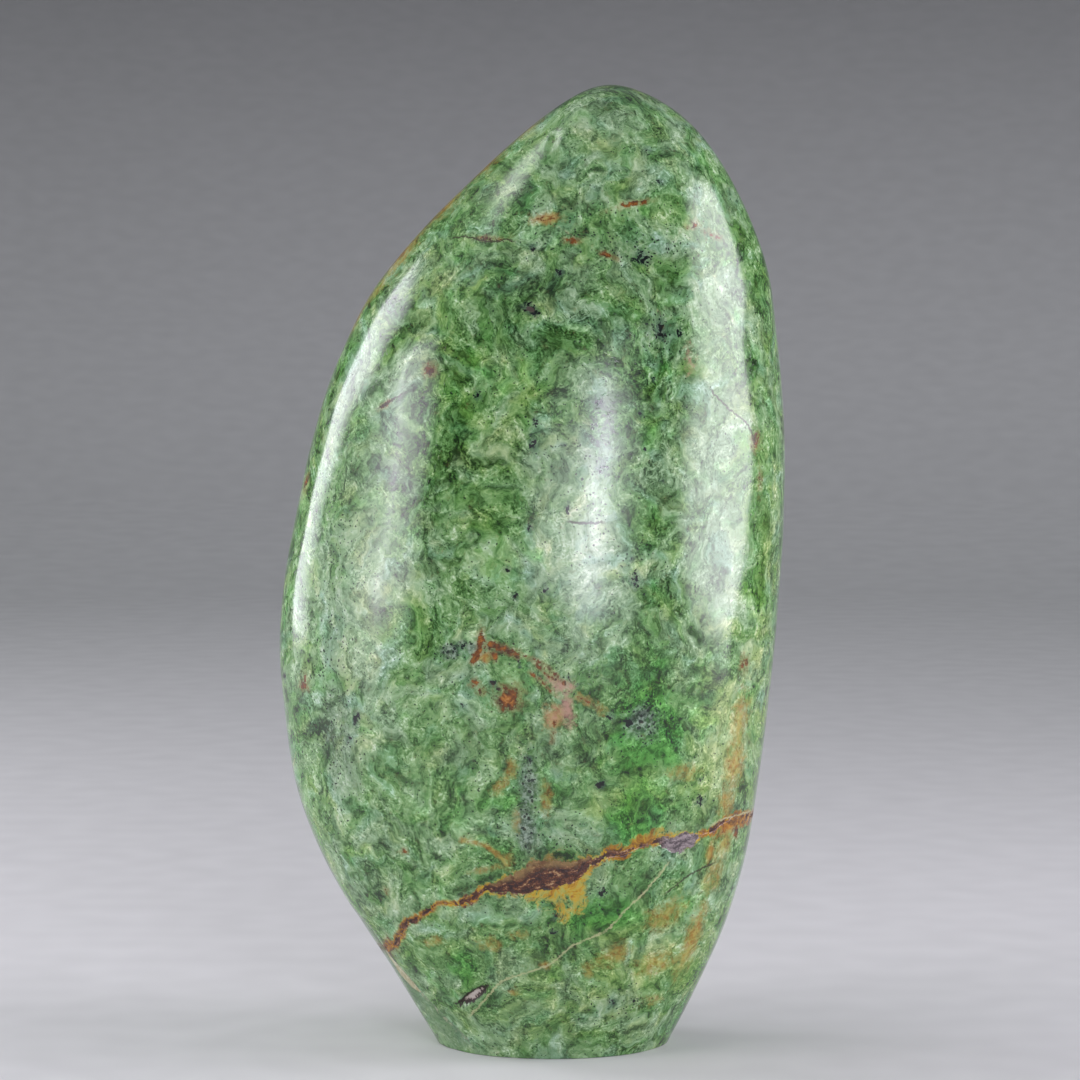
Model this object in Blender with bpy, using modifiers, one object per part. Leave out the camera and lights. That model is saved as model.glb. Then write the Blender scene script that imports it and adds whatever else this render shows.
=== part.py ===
"""A polished chrysoprase freeform: one solid stone, ground to a soft leaning egg that stands on a
small flat across its lower end. Metres, +Z up, +X to the right and -Y to the front. The origin is on
the surface that the stone stands on, in the middle of the box round it."""

import math

import bmesh
import bpy
import numpy as np
from mathutils import Vector

# Driving dimensions in millimetres.
MM = 0.001
HEIGHT = 190.0
WIDEST_AT = 78.0  # height of the widest level, where the stone's foot meets its domed crown

# The outline seen from the front, as (height, left edge, right edge). Its top is at APEX_X.
FRONT_OUTLINE = (
    (0.0, -18.9, 27.2),
    (16.0, -28.6, 35.2),
    (32.0, -38.7, 41.1),
    (48.0, -45.9, 44.4),
    (64.0, -49.0, 46.6),
    (80.0, -50.2, 48.3),
    (103.0, -47.5, 49.9),
    (127.0, -41.6, 49.9),
    (147.0, -33.0, 47.6),
    (159.0, -25.0, 45.0),
    (171.0, -14.2, 39.7),
    (182.5, -0.4, 30.6),
    (187.0, 7.0, 24.8),
)
APEX_X = 15.4

# The outline seen from the right, as (height, front edge, back edge).
SIDE_OUTLINE = (
    (0.0, -18.8, 17.2),
    (24.0, -27.8, 26.2),
    (55.0, -34.5, 34.1),
    (88.0, -36.3, 36.3),
    (122.0, -34.5, 34.7),
    (152.0, -28.5, 29.1),
    (174.0, -19.3, 20.3),
    (186.0, -10.9, 11.7),
)
APEX_Y = 0.3

SQUARENESS = 2.3  # exponent of the widest level's oval: 2 is an ellipse, and more is boxier

# Broad flats that the grinding left, as azimuth, elevation, distance and softness. The azimuth is 0 at
# the front and 90 at the right. The distance is from HEART, and the softness is about a third of the
# width over which a flat runs out into the round.
HEART = Vector((0.0, 0.0, 86.0))
GROUND_FLATS = {
    "front left": (-42.0, 5.0, 42.8, 3.0),
    "front right": (40.0, 2.0, 43.2, 3.0),
    "shoulder": (-86.0, 45.0, 68.5, 0.8),
    "back left": (-132.0, 12.0, 43.6, 2.4),
    "back right": (146.0, 6.0, 40.6, 2.4),
    "back foot": (170.0, -26.0, 49.0, 2.0),
}

# The edge between the side and the flat base is eased to this radius.
RIM_RADIUS = 1.6
RIM_STEPS = 3
RIM_ANGLE = math.radians(35)  # an edge sharper than this is the rim

# The cage's cells across, deep and high. Two subdivisions make each cell 16 faces.
CAGE_CELLS = (6, 4, 12)
SUBDIVISIONS = 2
FITTING_ROUNDS = 6

STONE_GREEN = (0.16, 0.30, 0.13, 1.0)
STONE_ROUGHNESS = 0.12


def clear_scene():
    for obj in list(bpy.data.objects):
        bpy.data.objects.remove(obj, do_unlink=True)


def curve_through(knots, values):
    """The natural cubic curve through the given points, as a function of the knot's value."""
    knots, values = np.array(knots), np.array(values)
    gaps, rises = np.diff(knots), np.diff(values)
    count = len(knots)
    matrix, right_side = np.eye(count), np.zeros(count)
    for i in range(1, count - 1):
        matrix[i, i - 1 : i + 2] = gaps[i - 1], 2 * (gaps[i - 1] + gaps[i]), gaps[i]
        right_side[i] = 6 * (rises[i] / gaps[i] - rises[i - 1] / gaps[i - 1])
    bends = np.linalg.solve(matrix, right_side)

    def curve(at):
        i = int(np.clip(np.searchsorted(knots, at) - 1, 0, count - 2))
        ahead, behind = knots[i + 1] - at, at - knots[i]
        bent = (bends[i] * ahead**3 + bends[i + 1] * behind**3) / (6 * gaps[i])
        start = (values[i] / gaps[i] - bends[i] * gaps[i] / 6) * ahead
        end = (values[i + 1] / gaps[i] - bends[i + 1] * gaps[i] / 6) * behind
        return float(bent + start + end)

    return curve


def crown_share(height):
    """How wide an ellipse that is full at WIDEST_AT and closes at the top would be at a height."""
    rise = max(0.0, height - WIDEST_AT) / (HEIGHT - WIDEST_AT)
    return math.sqrt(max(0.0, 1.0 - rise * rise))


def outline_curves(outline, apex):
    """The outline's middle and its half width, as functions of height. The half width is kept as a
    multiple of the crown's ellipse, so that the outline closes smoothly at the top."""
    heights = [row[0] for row in outline]
    middles = [(row[1] + row[2]) / 2 for row in outline]
    fullness = [(row[2] - row[1]) / 2 / crown_share(row[0]) for row in outline]
    middle = curve_through([*heights, HEIGHT], [*middles, apex])
    full = curve_through([*heights, HEIGHT], [*fullness, fullness[-1]])
    return middle, full


def box_to_round(x, y, z):
    """A point of the two-unit box, drawn in to a round level below the middle and to a dome above."""
    if z <= 0:
        return x * math.sqrt(1 - y * y / 2), y * math.sqrt(1 - x * x / 2), z
    return (
        x * math.sqrt(1 - y * y / 2 - z * z / 2 + y * y * z * z / 3),
        y * math.sqrt(1 - z * z / 2 - x * x / 2 + z * z * x * x / 3),
        z * math.sqrt(1 - x * x / 2 - y * y / 2 + x * x * y * y / 3),
    )


def squared_off(x, y, z):
    """How much further out a boxier oval lies in the direction of x and y. The boxiness fades towards
    the base and the top."""
    reach = math.hypot(x, y)
    if reach < 1e-9:
        return 1.0
    power = 2 + (SQUARENESS - 2) * (1 - z**4)
    return (abs(x / reach) ** power + abs(y / reach) ** power) ** (-1 / power)


def outward(azimuth, elevation):
    turn, lift = math.radians(azimuth), math.radians(elevation)
    return Vector(
        (
            math.sin(turn) * math.cos(lift),
            -math.cos(turn) * math.cos(lift),
            math.sin(lift),
        )
    )


def ground(point):
    """The point moved in behind every ground flat, softly near the flat's edge."""
    for azimuth, elevation, distance, softness in GROUND_FLATS.values():
        facing = outward(azimuth, elevation)
        over = (point - HEART).dot(facing) - distance
        kept = -softness * math.log1p(math.exp(-over / softness))
        point = point + facing * (kept - over)
    return point


def box_grid():
    """A two-unit box of even square cells."""
    grid = bmesh.new()
    bmesh.ops.create_cube(grid, size=2)
    for axis, cells in enumerate(CAGE_CELLS):
        along = [
            edge
            for edge in grid.edges
            if abs(edge.verts[0].co[axis] - edge.verts[1].co[axis]) > 1e-6
        ]
        bmesh.ops.subdivide_edges(grid, edges=along, cuts=cells - 1, use_grid_fill=True)
    return grid


def draw_out(grid):
    """Moves each point of the box to its place on the stone."""
    middle_x, full_x = outline_curves(FRONT_OUTLINE, APEX_X)
    middle_y, full_y = outline_curves(SIDE_OUTLINE, APEX_Y)
    for vert in grid.verts:
        x, y, z = box_to_round(*vert.co)
        on_base = z < -1 + 1e-6
        height = WIDEST_AT * (1 + z) if z <= 0 else WIDEST_AT + (HEIGHT - WIDEST_AT) * z
        out = squared_off(x, y, z)
        side = middle_x(height) + full_x(height) * x * out
        depth = middle_y(height) + full_y(height) * y * out
        vert.co = ground(Vector((side, depth, height)))
        if on_base:
            vert.co.z = 0.0


def rim_of(grid):
    """The edges between the base's faces and the side's."""
    return {
        edge
        for edge in grid.edges
        if all(vert.co.z == 0.0 for vert in edge.verts)
        and any(max(vert.co.z for vert in face.verts) > 0 for face in edge.link_faces)
    }


def smoothed(vert, rim):
    """Where the subdivided surface ends up at a point of the cage."""
    edges = [edge for edge in vert.link_edges if edge in rim]
    if edges:
        ends = sum((edge.other_vert(vert).co for edge in edges), Vector())
        return (vert.co * 4 + ends) / 6
    count = len(vert.link_edges)
    linked = {other for edge in vert.link_edges for other in edge.verts}
    beside = sum((other.co for other in linked - {vert}), Vector())
    across = {other for face in vert.link_faces for other in face.verts} - linked
    corners = sum((other.co for other in across), Vector())
    return (vert.co * count**2 + beside * 4 + corners) / (count * (count + 5))


def fit_cage(grid):
    """Pushes the cage out until its subdivided surface runs through the points that it had."""
    rim = rim_of(grid)
    wanted = {vert: vert.co.copy() for vert in grid.verts}
    for _ in range(FITTING_ROUNDS):
        short = {vert: wanted[vert] - smoothed(vert, rim) for vert in grid.verts}
        for vert in grid.verts:
            vert.co += short[vert]
            if wanted[vert].z == 0.0:
                vert.co.z = 0.0


def stone_mesh():
    """The cage in metres, with its rim held sharp."""
    grid = box_grid()
    draw_out(grid)
    fit_cage(grid)
    crease = grid.edges.layers.float.new("crease_edge")
    for edge in rim_of(grid):
        edge[crease] = 1.0
    bmesh.ops.scale(grid, vec=(MM, MM, MM), verts=grid.verts)
    mesh = bpy.data.meshes.new("stone")
    grid.to_mesh(mesh)
    grid.free()
    mesh.shade_smooth()
    return mesh


def stone_material():
    material = bpy.data.materials.new("polished_chrysoprase")
    material.use_nodes = True
    surface = material.node_tree.nodes["Principled BSDF"]
    surface.inputs["Base Color"].default_value = STONE_GREEN
    surface.inputs["Roughness"].default_value = STONE_ROUGHNESS
    surface.inputs["Metallic"].default_value = 0.0
    return material


def make_stone(collection):
    stone = bpy.data.objects.new("stone", stone_mesh())
    collection.objects.link(stone)
    stone.data.materials.append(stone_material())
    round_off = stone.modifiers.new("round_off", "SUBSURF")
    round_off.levels = SUBDIVISIONS
    round_off.render_levels = SUBDIVISIONS
    ease_rim = stone.modifiers.new("ease_rim", "BEVEL")
    ease_rim.limit_method = "ANGLE"
    ease_rim.angle_limit = RIM_ANGLE
    ease_rim.width = RIM_RADIUS * MM
    ease_rim.segments = RIM_STEPS


def main():
    clear_scene()
    collection = bpy.data.collections.new("chrysoprase_freeform")
    bpy.context.scene.collection.children.link(collection)
    make_stone(collection)


main()
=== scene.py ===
import math

import bmesh
import bpy
import numpy as np
from mathutils import Euler, Matrix, Vector
from mathutils.bvhtree import BVHTree


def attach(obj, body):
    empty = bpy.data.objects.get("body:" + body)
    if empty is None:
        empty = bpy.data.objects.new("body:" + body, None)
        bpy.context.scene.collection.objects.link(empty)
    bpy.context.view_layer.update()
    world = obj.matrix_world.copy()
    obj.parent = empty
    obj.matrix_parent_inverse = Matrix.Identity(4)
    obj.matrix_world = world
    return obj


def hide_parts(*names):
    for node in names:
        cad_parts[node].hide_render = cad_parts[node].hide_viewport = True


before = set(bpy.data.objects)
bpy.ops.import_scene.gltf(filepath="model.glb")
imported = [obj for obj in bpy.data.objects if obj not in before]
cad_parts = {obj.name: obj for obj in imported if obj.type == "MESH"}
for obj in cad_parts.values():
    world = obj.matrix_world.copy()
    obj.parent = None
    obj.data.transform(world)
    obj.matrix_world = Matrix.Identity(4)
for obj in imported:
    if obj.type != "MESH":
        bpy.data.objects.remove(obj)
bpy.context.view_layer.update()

MM = 0.001

# The view. A long lens stands in front of the stone, a little above its middle, and looks slightly
# down at the broad front face.
view_from_above = math.radians(4.3)
view_distance = 0.7136
view_target = Vector((0.0016, 0.0, 0.1002))
view_direction = Vector((0.0, math.cos(view_from_above), -math.sin(view_from_above)))
lens = bpy.data.cameras.new("lens")
lens.lens = 120.0
lens.sensor_width = 36.0
lens.clip_start = 0.02
camera = bpy.data.objects.new("camera", lens)
camera.location = view_target - view_direction * view_distance
camera.rotation_euler = (math.pi / 2 - view_from_above, 0.0, 0.0)
bpy.context.scene.collection.objects.link(camera)
bpy.context.scene.camera = camera

# The stone. One lump of chrysoprase, sawn from the rough, ground on wheels to a leaning egg with a
# flat foot, and buffed all over. Its veins, stains and specks are in the stone, and an old fracture
# at the lower left is left open under the polish. The places of marks are in millimetres.
rough = bmesh.new()
rough.from_mesh(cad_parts["stone"].data)
bmesh.ops.remove_doubles(rough, verts=rough.verts, dist=1e-6)
widest_join = math.radians(60)
bmesh.ops.join_triangles(
    rough,
    faces=rough.faces[:],
    angle_face_threshold=widest_join,
    angle_shape_threshold=widest_join,
)
ground_mesh = bpy.data.meshes.new("ground_stone")
rough.to_mesh(ground_mesh)
rough.free()
stone = bpy.data.objects.new("polished_stone", ground_mesh)
bpy.context.scene.collection.objects.link(stone)
buffing = stone.modifiers.new("buffing", "SUBSURF")
buffing.levels = 2
buffing.render_levels = 2
polished_mesh = bpy.data.meshes.new_from_object(
    stone.evaluated_get(bpy.context.evaluated_depsgraph_get())
)
stone.modifiers.clear()
stone.data = polished_mesh
polished_mesh.shade_smooth()

# The faces are halved where small marks lie on the front, as (lowest x, highest x, lowest z,
# highest z).
FINELY_MARKED = (
    (-16, 22, 60, 88),
    (-14, 46, 30, 50),
    (-36, -4, 1, 30),
    (-20, 24, 153, 170),
)
finer = bmesh.new()
finer.from_mesh(polished_mesh)
marked_edges = set()
for face in finer.faces:
    x, y, z = face.calc_center_median() / MM
    if y < 0 and any(x0 < x < x1 and z0 < z < z1 for x0, x1, z0, z1 in FINELY_MARKED):
        marked_edges.update(face.edges)
bmesh.ops.subdivide_edges(finer, edges=list(marked_edges), cuts=1, use_grid_fill=True)
finer.to_mesh(polished_mesh)
finer.free()
polished_mesh.shade_smooth()


def read_surface():
    """The stone's vertices and outward directions in millimetres, and a tree to find places with."""
    flat = np.empty(len(polished_mesh.vertices) * 3, np.float32)
    polished_mesh.vertices.foreach_get("co", flat)
    places = flat.reshape(-1, 3).astype(float) / MM
    polished_mesh.vertex_normals.foreach_get("vector", flat)
    outward = flat.reshape(-1, 3).astype(float)
    faces = [list(face.vertices) for face in polished_mesh.polygons]
    return places, outward, BVHTree.FromPolygons(places.tolist(), faces)


skin, facing, surface = read_surface()
vertex_count = len(skin)
UP = np.array((0.0, 0.0, 1.0))


def on_stone(across, height, turn=0.0):
    """The place and the outward direction of the surface at a height, as seen from a side. The turn
    is 0 at the front and 90 at the right, and across is measured to the viewer's right."""
    well_outside = 200
    angle = math.radians(turn)
    to_right = Vector((math.cos(angle), math.sin(angle), 0.0))
    inward = Vector((-math.sin(angle), math.cos(angle), 0.0))
    start = to_right * across - inward * well_outside + Vector((0, 0, height))
    place, outward, _, _ = surface.ray_cast(start, inward)
    if place is None:
        place, outward, _, _ = surface.find_nearest(start + inward * well_outside)
    return np.array(place), np.array(outward)


def traced(points, turn=0.0):
    """A smooth line over the surface through points given as (across, height)."""
    step_length = 1.5
    rounded = []
    for i in range(len(points) - 1):
        before = np.array(points[max(i - 1, 0)], float)
        start, end = np.array(points[i], float), np.array(points[i + 1], float)
        after = np.array(points[min(i + 2, len(points) - 1)], float)
        steps = max(2, int(np.linalg.norm(end - start) / step_length))
        for share in np.arange(steps) / steps:
            bend = 2 * before - 5 * start + 4 * end - after
            twist = 3 * start - before - 3 * end + after
            place = start + 0.5 * share * (end - before + share * (bend + share * twist))
            rounded.append(place)
    rounded.append(np.array(points[-1], float))
    return np.array([on_stone(x, z, turn)[0] for x, z in rounded])


LINE_REACH = 9.0


def from_line(line, reach=LINE_REACH):
    """The numbers of the vertices within reach of a line, and for each how far to the line's left it
    lies, how far along, and how far past an end."""
    near = np.flatnonzero(
        np.all((skin > line.min(0) - reach) & (skin < line.max(0) + reach), axis=1)
    )
    closest = np.full(len(near), np.inf)
    left = np.zeros(len(near))
    along = np.zeros(len(near))
    run = 0.0
    for start, end in zip(line, line[1:]):
        length = np.linalg.norm(end - start)
        heading = (end - start) / length
        share = (skin[near] - start) @ heading
        foot = start + np.clip(share, 0, length)[:, None] * heading
        off = skin[near] - foot
        gap = np.linalg.norm(off, axis=1)
        nearer = gap < closest
        closest[nearer] = gap[nearer]
        sideways = np.cross(facing[near], heading)
        side = np.einsum("ij,ij->i", off, sideways)
        left[nearer] = np.copysign(gap, side)[nearer]
        along[nearer] = (run + share)[nearer]
        run += length
    past = np.maximum(-along, along - run)
    kept = closest < reach
    return near[kept], left[kept], along[kept], past[kept]


def lay_lines(name, lines):
    """Keeps thin lines as a vector: how far to the left, half width and strength. Each line is
    (half width, strength, turn, points)."""
    end_taper = 2.5
    half_reach = 2.5
    field = np.zeros((vertex_count, 3))
    field[:, 0] = LINE_REACH
    for half, strength, turn, points in lines:
        near, left, along, past = from_line(traced(points, turn))
        taper = np.clip(1 - np.maximum(past + 2.0, 0) / end_taper, 0, 1)
        there = strength * taper * np.clip(2 - np.abs(left) / half_reach, 0, 1)
        wins = there > field[near, 2]
        chosen = near[wins]
        field[chosen, 0] = left[wins]
        field[chosen, 1] = half
        field[chosen, 2] = there[wins]
    keep(name, field)


def keep(name, values):
    """Stores one number or one vector for each vertex."""
    kind = "FLOAT_VECTOR" if values.ndim == 2 else "FLOAT"
    made = polished_mesh.attributes.new(name, kind, "POINT")
    made.data.foreach_set("vector" if kind == "FLOAT_VECTOR" else "value", values.ravel())


def patches(marks, streaks=()):
    """How far inside the nearest oval patch or streak each vertex is: 1 at its middle, 0 on its edge
    and -1 well outside. A mark is (across, height, half width, half height, lean, turn, strength),
    and a streak is (half width, strength, turn, points)."""
    field = np.full(vertex_count, -1.0)
    for half, strength, turn, points in streaks:
        near, left, along, past = from_line(traced(points, turn), reach=4.0)
        inside = 1 - np.maximum(np.abs(left), np.maximum(past, 0) + half * 0.3) / half
        field[near] = np.maximum(field[near], np.where(inside > 0, inside * strength, inside))
    for across, height, wide, tall, lean, turn, strength in marks:
        middle, outward = on_stone(across, height, turn)
        to_right = np.cross(UP, outward)
        to_right /= np.linalg.norm(to_right)
        upward = np.cross(outward, to_right)
        off = skin - middle
        deep = np.abs(off @ outward)
        angle = math.radians(lean)
        u = off @ (to_right * math.cos(angle) + upward * math.sin(angle)) / wide
        v = off @ (upward * math.cos(angle) - to_right * math.sin(angle)) / tall
        inside = 1 - np.sqrt(u * u + v * v + (deep / (wide + tall)) ** 2)
        field = np.maximum(field, np.where(inside > 0, inside * strength, inside))
    return np.maximum(field, -1.0)


def clouds(marks):
    """The sum of soft oval clouds, each (across, height, half width, half height, turn, strength)."""
    field = np.zeros(vertex_count)
    for across, height, wide, tall, turn, strength in marks:
        middle, outward = on_stone(across, height, turn)
        to_right = np.cross(UP, outward)
        to_right /= np.linalg.norm(to_right)
        upward = np.cross(outward, to_right)
        off = skin - middle
        reach = (off @ to_right / wide) ** 2 + (off @ upward / tall) ** 2
        reach += (off @ outward / (wide + tall)) ** 2
        field += strength * np.exp(-reach)
    return field


# The old fracture comes out at the lower left and runs down to the foot, with a narrow facet beside
# it. Each point is (x, y, z).
FRACTURE = (
    (-33.8, -9.2, 27.6),
    (-31.6, -11.1, 23.9),
    (-28.1, -10.5, 18.4),
    (-25.6, -11.3, 15.4),
    (-23.0, -12.3, 12.8),
    (-19.8, -13.2, 9.4),
    (-16.3, -14.2, 6.0),
    (-12.9, -14.8, 2.8),
)
fracture_line = np.array(FRACTURE)
fracture_reach = 8.0
groove_depth = 0.4
groove_half_width = 0.5
facet_depth = 0.35
facet_width = 5.0
facet_edge = 0.7

# Holes that the polish didn't reach, as (across, height, half width, half height, lean, turn): a
# leaf-shaped pocket low at the left, and pits, which also give their depth. Three pits are on the
# front towards the top, two on the back and one on the left.
POCKET = (-11.6, 12.7, 4.8, 1.1, 38, 0)
POCKET_DEPTH = 1.2
PITS = (
    (13.8, 186.2, 1.3, 0.8, 0, 0, 0.5),
    (4.1, 178.7, 1.1, 1.0, 0, 0, 0.4),
    (-0.3, 146.2, 1.2, 0.7, -30, 0, 0.3),
    (-10.0, 104.0, 1.5, 0.9, 20, 180, 0.6),
    (12.0, 44.0, 1.3, 0.9, 0, 180, 0.5),
    (-4.0, 132.0, 1.1, 0.9, 0, 270, 0.5),
)

# Waves that hand polishing leaves, as (length, half height, heading, shift).
WAVES = (
    (27.0, 0.05, (0.8, 0.5, 0.4), 0.3),
    (19.0, 0.035, (-0.5, 0.7, 0.5), 1.9),
    (15.0, 0.025, (0.3, -0.6, 0.8), 4.1),
)
sunken = np.zeros(vertex_count)
for length, swell, heading, shift in WAVES:
    heading = np.array(heading) / np.linalg.norm(heading)
    sunken += swell * (1 + np.sin(math.tau * (skin @ heading) / length + shift))
near, left, along, past = from_line(fracture_line, fracture_reach)
end_taper = 3.0
fading = np.clip(1 - np.maximum(past, 0) / end_taper, 0, 1)
groove = groove_depth * np.exp(-((left / groove_half_width) ** 2))
facet_side = np.clip(-left / facet_edge, 0, 1)
ground_away = facet_depth * facet_side * np.exp(-((left / facet_width) ** 2))
sunken[near] += fading * (groove + ground_away)
pocket = patches([(*POCKET, 1.0)])
sunken += np.interp(pocket, (0.0, 0.25, 1.0), (0.0, 0.75, 1.0)) * POCKET_DEPTH
for *pit, depth in PITS:
    sunken += depth * np.interp(patches([(*pit, 1.0)]), (-0.1, 0.5), (0.0, 1.0))
flat_rim = 1.5
sunken *= np.clip(skin[:, 2] / flat_rim, 0, 1)
moved_skin = (skin - facing * sunken[:, None]) * MM
polished_mesh.vertices.foreach_set("co", moved_skin.ravel().astype(np.float32))
polished_mesh.update()
skin, facing, surface = read_surface()
keep("pocket", pocket)
keep("pit", patches([(*pit, 1.0) for *pit, depth in PITS]))

# The rusty vein. It climbs round the foot from the old fracture, swells to a brown lens in the middle
# and to a grey one further right, and runs on thinner round the back. Each point is (across, height,
# half width of the dark filling, reach of the rust above, reach of the rust below).
VEIN_FRONT = (
    (-30.0, 20.2, 0.3, 0.9, 0.9),
    (-28.0, 21.8, 0.5, 1.2, 1.2),
    (-22.7, 28.0, 0.4, 1.3, 1.1),
    (-19.4, 31.3, 0.2, 0.9, 0.9),
    (-17.0, 32.4, 0.2, 0.9, 0.8),
    (-13.3, 33.2, 0.6, 1.3, 1.3),
    (-10.1, 35.2, 0.6, 1.3, 1.2),
    (-6.4, 35.3, 1.2, 1.9, 2.2),
    (-2.2, 36.7, 2.5, 3.4, 4.6),
    (2.6, 38.3, 3.1, 4.9, 9.2),
    (7.3, 39.9, 2.3, 4.6, 7.6),
    (11.5, 41.2, 0.9, 2.0, 1.8),
    (17.3, 42.6, 0.7, 2.2, 1.7),
    (22.5, 43.7, 0.4, 2.9, 1.2),
    (25.0, 44.0, 1.1, 3.2, 1.3),
    (29.1, 44.4, 2.0, 2.2, 1.7),
    (33.5, 45.2, 0.2, 1.0, 1.2),
    (37.1, 46.6, 0.4, 1.6, 2.2),
    (39.8, 46.7, 0.1, 1.5, 2.4),
    (42.4, 47.0, 0.1, 1.3, 2.0),
)
VEIN_RIGHT = (
    (-6.0, 46.6, 0.4, 1.3, 1.4),
    (0.0, 45.2, 0.5, 1.2, 1.4),
    (6.0, 42.6, 0.3, 1.0, 1.2),
    (12.0, 40.9, 0.4, 1.1, 1.2),
    (17.0, 37.0, 0.3, 1.0, 1.0),
)
VEIN_BACK = (
    (-36.0, 35.0, 0.3, 1.0, 1.2),
    (-28.0, 31.2, 0.5, 1.3, 1.2),
    (-19.0, 29.0, 0.9, 1.8, 2.2),
    (-11.0, 24.0, 0.4, 1.1, 1.4),
    (0.0, 21.5, 0.3, 1.1, 0.9),
    (9.0, 15.0, 0.2, 0.8, 0.7),
    (14.0, 12.5, 0.1, 0.5, 0.4),
)
VEIN = ((VEIN_FRONT, 0), (VEIN_RIGHT, 90), (VEIN_BACK, 180))
vein_line = np.vstack([traced([point[:2] for point in points], turn) for points, turn in VEIN])
vein_run = np.append(0.0, np.cumsum(np.linalg.norm(np.diff(vein_line, axis=0), axis=1)))
vein_widths = []
for points, turn in VEIN:
    for across, height, *widths in points:
        nearest = np.argmin(np.linalg.norm(vein_line - on_stone(across, height, turn)[0], axis=1))
        vein_widths.append((vein_run[nearest], *widths))
vein_widths = np.array(vein_widths)
vein_reach = 14.0
near, left, along, past = from_line(vein_line, vein_reach)
wander = 0.35 * np.sin(along / 1.7 + 0.7) + 0.2 * np.sin(along / 0.8 + 2.1) + 0.5 * np.sin(along / 3.9)
left += wander
end_taper = 2.0
fading = np.clip(1 - past / end_taper, 0, 1)
vein = np.zeros((vertex_count, 3))
# Vertices out of its reach are told apart as above or below a slanting plane through the vein.
across_vein = (-0.38, 0.15, 1.0)
plane_at = 30.0
vein[:, 0] = np.where(skin @ across_vein > plane_at, vein_reach, -vein_reach)
vein[near, 0] = left
vein[near, 1] = np.interp(along, vein_widths[:, 0], vein_widths[:, 1]) * fading
vein[near, 2] = along
keep("vein", vein)
halo = np.zeros((vertex_count, 3))
halo[near, 0] = np.interp(along, vein_widths[:, 0], vein_widths[:, 2]) * fading
halo[near, 1] = np.interp(along, vein_widths[:, 0], vein_widths[:, 3]) * fading
# The share of the filling that is grey, in the lens at the right.
grey_lens = (24.0, 34.0)
front_places = [point[0] for point in VEIN_FRONT]
grey_from, grey_to = np.interp(grey_lens, front_places, vein_widths[: len(VEIN_FRONT), 0])
halo[near, 2] = np.clip((along - grey_from) / 2, 0, 1) * np.clip((grey_to - along) / 2, 0, 1)
keep("halo", halo)

# Healed cracks, as (half width, strength, turn, points).
CRACKS = (
    (0.13, 0.8, 0, ((-16.3, 159.3), (-12.8, 160.0), (-8.0, 158.9), (-4.6, 159.4), (-2.5, 158.6))),
    (0.14, 0.9, 0, ((33.9, 131.5), (34.9, 129.9), (37.9, 127.0), (41.5, 124.0), (43.4, 120.0))),
    (0.16, 1.0, 0, ((6.3, 106.4), (10.0, 106.0), (14.2, 106.2))),
    (0.14, 0.8, 0, ((-23.5, 130.6), (-27.4, 128.4), (-30.0, 126.7))),
    (0.15, 0.7, 0, ((24.8, 33.2), (26.8, 34.7), (31.0, 37.4), (36.2, 39.0))),
    (0.14, 0.8, 90, ((-3.0, 120.0), (0.5, 114.0), (1.0, 109.0), (5.0, 101.0))),
    (0.14, 0.8, 180, ((-12.0, 128.0), (-5.0, 121.0), (2.0, 117.5), (8.0, 109.0), (16.0, 106.0))),
    (0.15, 0.8, 180, ((20.0, 62.0), (12.0, 58.0), (3.0, 59.0), (-6.0, 55.0))),
    (0.14, 0.8, 270, ((-10.0, 96.0), (-4.0, 92.0), (3.0, 91.0), (9.0, 86.0))),
)
lay_lines("crack", CRACKS)

# Hairlines filled with pale quartz.
HAIRLINES = (
    (0.2, 1.0, 0, ((26.8, 40.8), (24.6, 37.9), (21.8, 34.7), (17.9, 30.9), (15.0, 27.5), (11.8, 25.8),
                   (7.9, 24.2), (3.9, 20.5), (0.1, 18.9), (-5.4, 16.8), (-7.9, 14.0), (-10.1, 11.0),
                   (-12.6, 8.1))),
    (0.2, 1.0, 0, ((34.0, 46.1), (37.1, 47.4), (43.1, 47.6))),
    (0.12, 0.8, 0, ((23.8, 144.5), (23.9, 148.0))),
    (0.12, 0.6, 0, ((2.7, 163.4), (7.7, 160.1), (14.3, 156.4))),
    (0.12, 0.9, 0, ((16.6, 82.8), (18.0, 81.4))),
    (0.12, 0.7, 0, ((26.0, 84.2), (28.0, 85.0))),
    (0.16, 0.9, 180, ((30.0, 88.0), (22.0, 84.0), (14.0, 85.0), (5.0, 80.0), (-4.0, 79.0), (-12.0, 73.0))),
    (0.16, 0.9, 270, ((12.0, 60.0), (6.0, 55.0), (-2.0, 53.0), (-9.0, 46.0), (-16.0, 43.0))),
    (0.14, 0.8, 90, ((-10.0, 30.0), (-3.0, 27.0), (4.0, 28.0), (12.0, 23.0))),
)
lay_lines("hairline", HAIRLINES)

# The open fracture, as how far to the left, half width of the cream wedge and strength. The wedge
# widens and closes again along the upper half, as (along, half width).
WEDGE = ((7.0, 0.0), (10.0, 0.9), (14.5, 2.3), (18.5, 1.7), (21.5, 0.0))
near, left, along, past = from_line(fracture_line, fracture_reach)
side_taper = 3.0
end_taper = 3.0
fracture = np.zeros((vertex_count, 3))
fracture[:, 0] = fracture_reach
fracture[near, 0] = left
fracture[near, 1] = np.interp(along, [point[0] for point in WEDGE], [point[1] for point in WEDGE])
fading = np.clip(1 - np.maximum(past, 0) / end_taper, 0, 1)
fracture[near, 2] = fading * np.clip((fracture_reach - np.abs(left)) / side_taper, 0, 1)
keep("fracture", fracture)

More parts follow.
